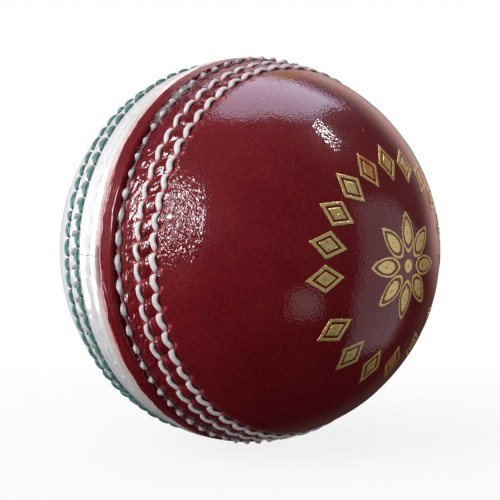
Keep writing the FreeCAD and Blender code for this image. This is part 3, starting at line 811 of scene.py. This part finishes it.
def cork_finish():
    finish = Finish("cork", Roughness=0.8)
    grain = finish.cells(420)
    tints = ((0.1, (0.20, 0.10, 0.045)), (0.4, (0.42, 0.25, 0.12)), (0.9, (0.52, 0.33, 0.17)))
    base = finish.ramp(grain, tints)
    flecks = finish.between(finish.grain(700, 2.0), 0.0, 0.7, 0.62, 0.70)
    finish.colour(finish.mix(flecks, base, (0.10, 0.045, 0.02)))
    finish.relief(grain, 0.0003, 0.7)
    return finish.material


def nucleus_finish():
    finish = Finish("cork_rubber", Roughness=0.65)
    crumbs = finish.cells(520)
    tints = ((0.1, (0.33, 0.20, 0.10)), (0.35, (0.14, 0.075, 0.045)), (0.8, (0.05, 0.03, 0.022)))
    finish.colour(finish.ramp(crumbs, tints))
    finish.relief(crumbs, 0.0002, 0.6)
    return finish.material


def lining_finish():
    finish = Finish("lining_leather", Roughness=0.7)
    nap = finish.grain(500, 4.0, 0.65)
    finish.colour(finish.ramp(nap, ((0.3, (0.32, 0.22, 0.13)), (0.7, (0.48, 0.35, 0.23)))))
    finish.relief(nap, 0.0003, 0.7)
    return finish.material


def joint_finish():
    finish = Finish("joint_thread", Roughness=0.7)
    fibres = finish.grain(2500, 3.0)
    finish.colour(finish.ramp(fibres, ((0.3, (0.52, 0.45, 0.34)), (0.7, (0.78, 0.70, 0.56)))))
    finish.relief(fibres, 0.0001, 0.6)
    return finish.material


# --- The ball ----------------------------------------------------------------------------


def keep(piece, slot, *nodes):
    """The piece rides on the ball and stands for those CAD nodes, which are hidden. The slot is not used."""
    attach(piece, "root")
    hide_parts(*nodes)


red = red_leather()
white = white_leather()
for place, first in (("front", -90.0), ("rear", 90.0)):
    quarter = leather_quarter("red_leather_" + place, 1, first, red_relief, RED_JOINT, red)
    keep(quarter, "red_leather", "red_quarter_" + place)
for place, first in (("lower", 0.0), ("upper", 180.0)):
    quarter = leather_quarter("white_leather_" + place, -1, first, white_relief, WHITE_JOINT, white)
    keep(quarter, "white_leather", "white_quarter_" + place)

CLOSING_DEPTH = 0.0003  # of the closing thread's fibres, coarser than the others
# each thread's last colour is its painted shade where it sinks into the leather
white_thread = thread_finish("white_thread", (0.93, 0.87, 0.88), (0.76, 0.69, 0.71), (0.62, 0.42, 0.43))
closing_finish = thread_finish("closing_thread", (0.80, 0.78, 0.81), (0.46, 0.43, 0.47), (0.25, 0.06, 0.085),
                               CLOSING_DEPTH)
green_thread = thread_finish("green_thread", (0.115, 0.34, 0.325), (0.055, 0.20, 0.20), (0.012, 0.075, 0.078))
cream_thread = thread_finish("cream_thread", (0.66, 0.60, 0.50), (0.36, 0.36, 0.37), (0.60, 0.55, 0.50))

# each row's width, belly, lean, crown, blunt and slant, as in crescents
stitch_rows = (
    ("red_middle", red_middle, white_thread, "white_thread", (0.80, 0.42, 0.30, 0.15, 0.16, 0.55)),
    ("red_outer", red_outer, white_thread, "white_thread", (0.98, 0.50, 0.28, 0.17, 0.16, 0.55)),
    ("white_middle", white_middle, green_thread, "green_thread", (0.86, 0.34, 0.24, 0.34, 0.2, 0.3)),
    ("white_outer", white_outer, green_thread, "green_thread", (0.92, 0.40, 0.20, 0.30, 0.2, 0.3)),
)
for seed, (name, row, finish, slot, shape) in enumerate(stitch_rows, start=71):
    keep(crescents(name + "_thread", row, finish, *shape, seed), slot, name + "_stitches")
keep(closing_thread("closing_thread", closing_finish), "white_thread", "closing_stitches")
keep(lock_bits("lock_thread", cream_thread), "cream_thread", "white_lock_stitches")
keep(foil_ornament("gold_ornament", foil_finish()), "gold_foil", "gold_foil_ornament")

inside = {
    "cork_rubber_nucleus": (nucleus_finish(), "cork_rubber"),
    "inner_yarn_winding": (yarn_finish(), "yarn"),
    "inner_cork_cup_upper": (cork_finish(), "cork"),
    "red_cover_lining": (lining_finish(), "lining_leather"),
    "red_quarter_joint_thread": (joint_finish(), "joint_thread"),
}
same_as = {
    "middle_yarn_winding": "inner_yarn_winding",
    "outer_yarn_winding": "inner_yarn_winding",
    "inner_cork_cup_lower": "inner_cork_cup_upper",
    "outer_cork_cup_left": "inner_cork_cup_upper",
    "outer_cork_cup_right": "inner_cork_cup_upper",
    "white_cover_lining": "red_cover_lining",
    "white_quarter_joint_thread": "red_quarter_joint_thread",
}
for name in (*inside, *same_as):
    finish, slot = inside[same_as.get(name, name)]
    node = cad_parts[name]
    node.data.materials.clear()
    node.data.materials.append(finish)

# --- Camera ------------------------------------------------------------------------------

CAMERA_PLACE = Vector((0.1776, -0.1697, 0.0107))
VIEW = Matrix(((0.691, 0.723, 0.0), (-0.0315, 0.0301, 0.999), (0.722, -0.690, 0.0436)))  # right, up, back

camera_data = bpy.data.cameras.new("camera")
camera_data.lens = 92.5
camera_data.sensor_width = 36.0
camera_data.clip_start = 0.01
camera = bpy.data.objects.new("camera", camera_data)
camera.location = CAMERA_PLACE
camera.rotation_mode = "QUATERNION"
camera.rotation_quaternion = (-CAMERA_PLACE).to_track_quat("-Z", "Y")
bpy.context.scene.collection.objects.link(camera)
bpy.context.scene.camera = camera


def seen_from_front(right, up, back):
    """A direction given in the first view's own axes, in the frame's axes."""
    return (VIEW.transposed() @ Vector((right, up, back))).normalized()


# --- Light and floor ---------------------------------------------------------------------


def area_light(name, direction, distance, power, colour):
    """A soft square light that faces the ball's centre from that direction."""
    data = bpy.data.lights.new(name, "AREA")
    data.size = 0.5
    data.energy = power
    data.color = colour
    light = bpy.data.objects.new(name, data)
    light.location = direction * distance
    light.rotation_mode = "QUATERNION"
    light.rotation_quaternion = (-direction).to_track_quat("-Z", "Y")
    light.visible_camera = False
    light.visible_glossy = False
    bpy.context.scene.collection.objects.link(light)


area_light("key", seen_from_front(-0.66, 0.64, 0.44), distance=0.7, power=2.35, colour=(1.0, 0.98, 0.97))
area_light("fill", seen_from_front(-0.88, -0.02, 0.48), distance=0.8, power=2.5, colour=(1.0, 0.99, 0.98))


def world_light(camera_level, sky_level, ground_level):
    """White where the camera, a gloss or glass sees it, and plainer as light, less from below than above."""
    world = bpy.data.worlds.new("studio")
    bpy.context.scene.world = world
    world.use_nodes = True
    nodes = Nodes(world.node_tree)
    path = nodes.tree.nodes.new("ShaderNodeLightPath").outputs
    seen = nodes.math("MAXIMUM", path["Is Camera Ray"], path["Is Glossy Ray"])
    seen = nodes.math("MAXIMUM", seen, path["Is Transmission Ray"])
    place = nodes.tree.nodes.new("ShaderNodeTexCoord").outputs["Generated"]
    upward = nodes.add("ShaderNodeSeparateXYZ", "Z", {"Vector": place})
    level = nodes.between(upward, ground_level, sky_level, -0.6, 0.6)
    background = nodes.tree.nodes["Background"]
    nodes.feed(background.inputs["Color"], (1, 1, 1))
    nodes.feed(background.inputs["Strength"], nodes.between(seen, level, camera_level))


world_light(camera_level=1.0, sky_level=0.44, ground_level=0.19)


class StageMaterial(Nodes):
    """A material for what stands around the ball, built from an empty node tree."""

    def __init__(self, name):
        self.material = bpy.data.materials.new(name)
        self.material.use_nodes = True
        super().__init__(self.material.node_tree)
        self.tree.nodes.clear()

    def shine(self, colour, strength=1.0):
        return self.add("ShaderNodeEmission", "Emission", {"Color": colour, "Strength": strength})

    def mix_shaders(self, share, first, second):
        return self.add("ShaderNodeMixShader", "Shader", {"Fac": share, 1: first, 2: second})

    def finished(self, shader):
        """The material, with that shader as its surface."""
        self.feed(self.tree.nodes.new("ShaderNodeOutputMaterial").inputs["Surface"], shader)
        return self.material


FLOOR = 6.0  # radius in metres


def floor_piece():
    """A pale floor under the ball that turns into the white background further out."""
    bpy.ops.mesh.primitive_circle_add(
        vertices=96, radius=FLOOR, fill_type="NGON", location=(0, 0, -LOWEST * METRES))
    floor = bpy.context.object
    floor.name = "floor"
    stage = StageMaterial("floor")
    paint = stage.add("ShaderNodeBsdfDiffuse", "BSDF", {"Color": (0.86, 0.86, 0.86)})
    place = stage.add("ShaderNodeTexCoord", "Object", {})
    distance = stage.add("ShaderNodeVectorMath", "Value", {0: place}, operation="LENGTH")
    to_camera = stage.add("ShaderNodeLightPath", "Is Camera Ray", {})
    white_share = stage.math("MULTIPLY", stage.between(distance, 0.85, 1.0, 0.02, 0.12), to_camera)
    top = stage.mix_shaders(white_share, paint, stage.shine((1, 1, 1)))
    # clear from below, so that the underside of the ball can be looked at
    below = stage.add("ShaderNodeNewGeometry", "Backfacing", {})
    clear = stage.add("ShaderNodeBsdfTransparent", "BSDF", {})
    floor.data.materials.append(stage.finished(stage.mix_shaders(below, top, clear)))
    floor.visible_glossy = False
    floor.visible_diffuse = False


floor_piece()


def only_in_gloss(thing):
    """Part of the studio that only the gloss of a surface shows."""
    thing.visible_camera = False
    thing.visible_diffuse = False
    thing.visible_shadow = False
    thing.visible_transmission = False
    thing.visible_volume_scatter = False


ROOM = 1.5  # radius in metres
UPWARD_STOPS = (
    (0.0, (0.03, 0.02, 0.02)), (0.42, (0.10, 0.06, 0.06)), (0.51, (0.78, 0.68, 0.66)), (1.0, (0.8, 0.8, 0.9)),
)
BACKWARD_STOPS = (
    (0.0, (0.05, 0.04, 0.05)), (0.55, (0.12, 0.09, 0.10)), (0.79, (0.10, 0.07, 0.08)),
    (0.845, (0.50, 0.37, 0.35)), (0.89, (1.15, 0.76, 0.68)), (0.945, (1.15, 0.84, 0.74)),
    (0.972, (0.35, 0.46, 0.49)),
)


def room_dome():
    """What the gloss of the leather mirrors: a room that is dim in front and below, and paler behind."""
    bpy.ops.mesh.primitive_uv_sphere_add(segments=48, ring_count=24, radius=ROOM)
    dome = bpy.context.object
    dome.name = "room"
    stage = StageMaterial("room")
    place = stage.add("ShaderNodeTexCoord", "Object", {})

    def gradient(direction, stops):
        inputs = {0: place, 1: direction / ROOM}
        dot = stage.add("ShaderNodeVectorMath", "Value", inputs, operation="DOT_PRODUCT")
        return stage.ramp(stage.between(dot, 0.0, 1.0, -1.0), stops)

    upward = gradient(Vector((0, 0, 1)), UPWARD_STOPS)
    behind = gradient(seen_from_front(0, 0, -1), BACKWARD_STOPS)
    colour = stage.mix(1.0, upward, behind, "MULTIPLY")
    dome.data.materials.append(stage.finished(stage.shine(colour)))
    only_in_gloss(dome)


CARD_DISTANCE = 0.8


def card(name, colour, strength, corners, nearness=1.0):
    """A shining card seen only in gloss. Its corners are directions in the first view's own axes."""
    points = [seen_from_front(*corner) * CARD_DISTANCE * nearness for corner in corners]
    mesh = bpy.data.meshes.new(name)
    mesh.from_pydata(points, [], [list(range(len(points)))])
    piece = bpy.data.objects.new(name, mesh)
    bpy.context.scene.collection.objects.link(piece)
    stage = StageMaterial(name)
    mesh.materials.append(stage.finished(stage.shine(colour, strength)))
    only_in_gloss(piece)


room_dome()
card("window_card", (0.78, 0.77, 1.0), 3.9, (
    (-0.295, 0.955, -0.02), (-0.235, 0.958, -0.16), (-0.11, 0.88, -0.46), (0.04, 0.84, -0.54),
    (0.255, 0.817, -0.517), (0.47, 0.73, -0.497), (0.44, 0.897, -0.05), (0.36, 0.932, 0.0),
    (0.075, 0.99, 0.11), (-0.08, 0.985, 0.155), (-0.22, 0.969, 0.118)))
card("wood_card", (0.80, 0.50, 0.16), 1.0, (
    (0.03, 0.713, -0.70), (0.17, 0.661, -0.731), (0.22, 0.775, -0.593), (0.16, 0.858, -0.489),
    (0.04, 0.84, -0.54)), nearness=0.8)
card("lamp_card", (1.0, 0.98, 1.0), 75.0, (
    (0.468, 0.883, 0.028), (0.476, 0.879, 0.008), (0.630, 0.770, 0.090), (0.624, 0.773, 0.108)))
card("side_card", (0.92, 0.78, 0.90), 0.78, (
    (0.84, 0.40, 0.38), (0.93, 0.36, -0.02), (0.90, 0.10, -0.40), (0.88, -0.30, -0.36),
    (0.75, -0.53, -0.40), (0.69, -0.72, 0.04), (0.84, -0.41, 0.36)))
card("low_card", (1.0, 0.75, 0.78), 1.1, (
    (0.36, -0.38, 0.85), (0.62, -0.34, 0.71), (0.61, -0.56, 0.56), (0.37, -0.60, 0.70)))
card("near_card", (0.94, 0.94, 1.0), 42.0, (
    (-0.80, 0.42, 0.42), (-0.64, 0.48, 0.59), (-0.57, 0.20, 0.79), (-0.78, 0.10, 0.61)))
card("left_card", (0.94, 0.94, 1.0), 18.0, (
    (-0.88, 0.42, -0.26), (-0.83, 0.42, -0.38), (-0.85, -0.35, -0.42), (-0.93, -0.35, -0.28)))
card("far_card", (0.96, 0.98, 1.0), 0.65, (
    (-0.25, 0.16, -0.955), (-0.74, 0.20, -0.64), (-0.74, -0.40, -0.54), (-0.25, -0.35, -0.90)))

bpy.context.scene.view_settings.view_transform = "Standard"
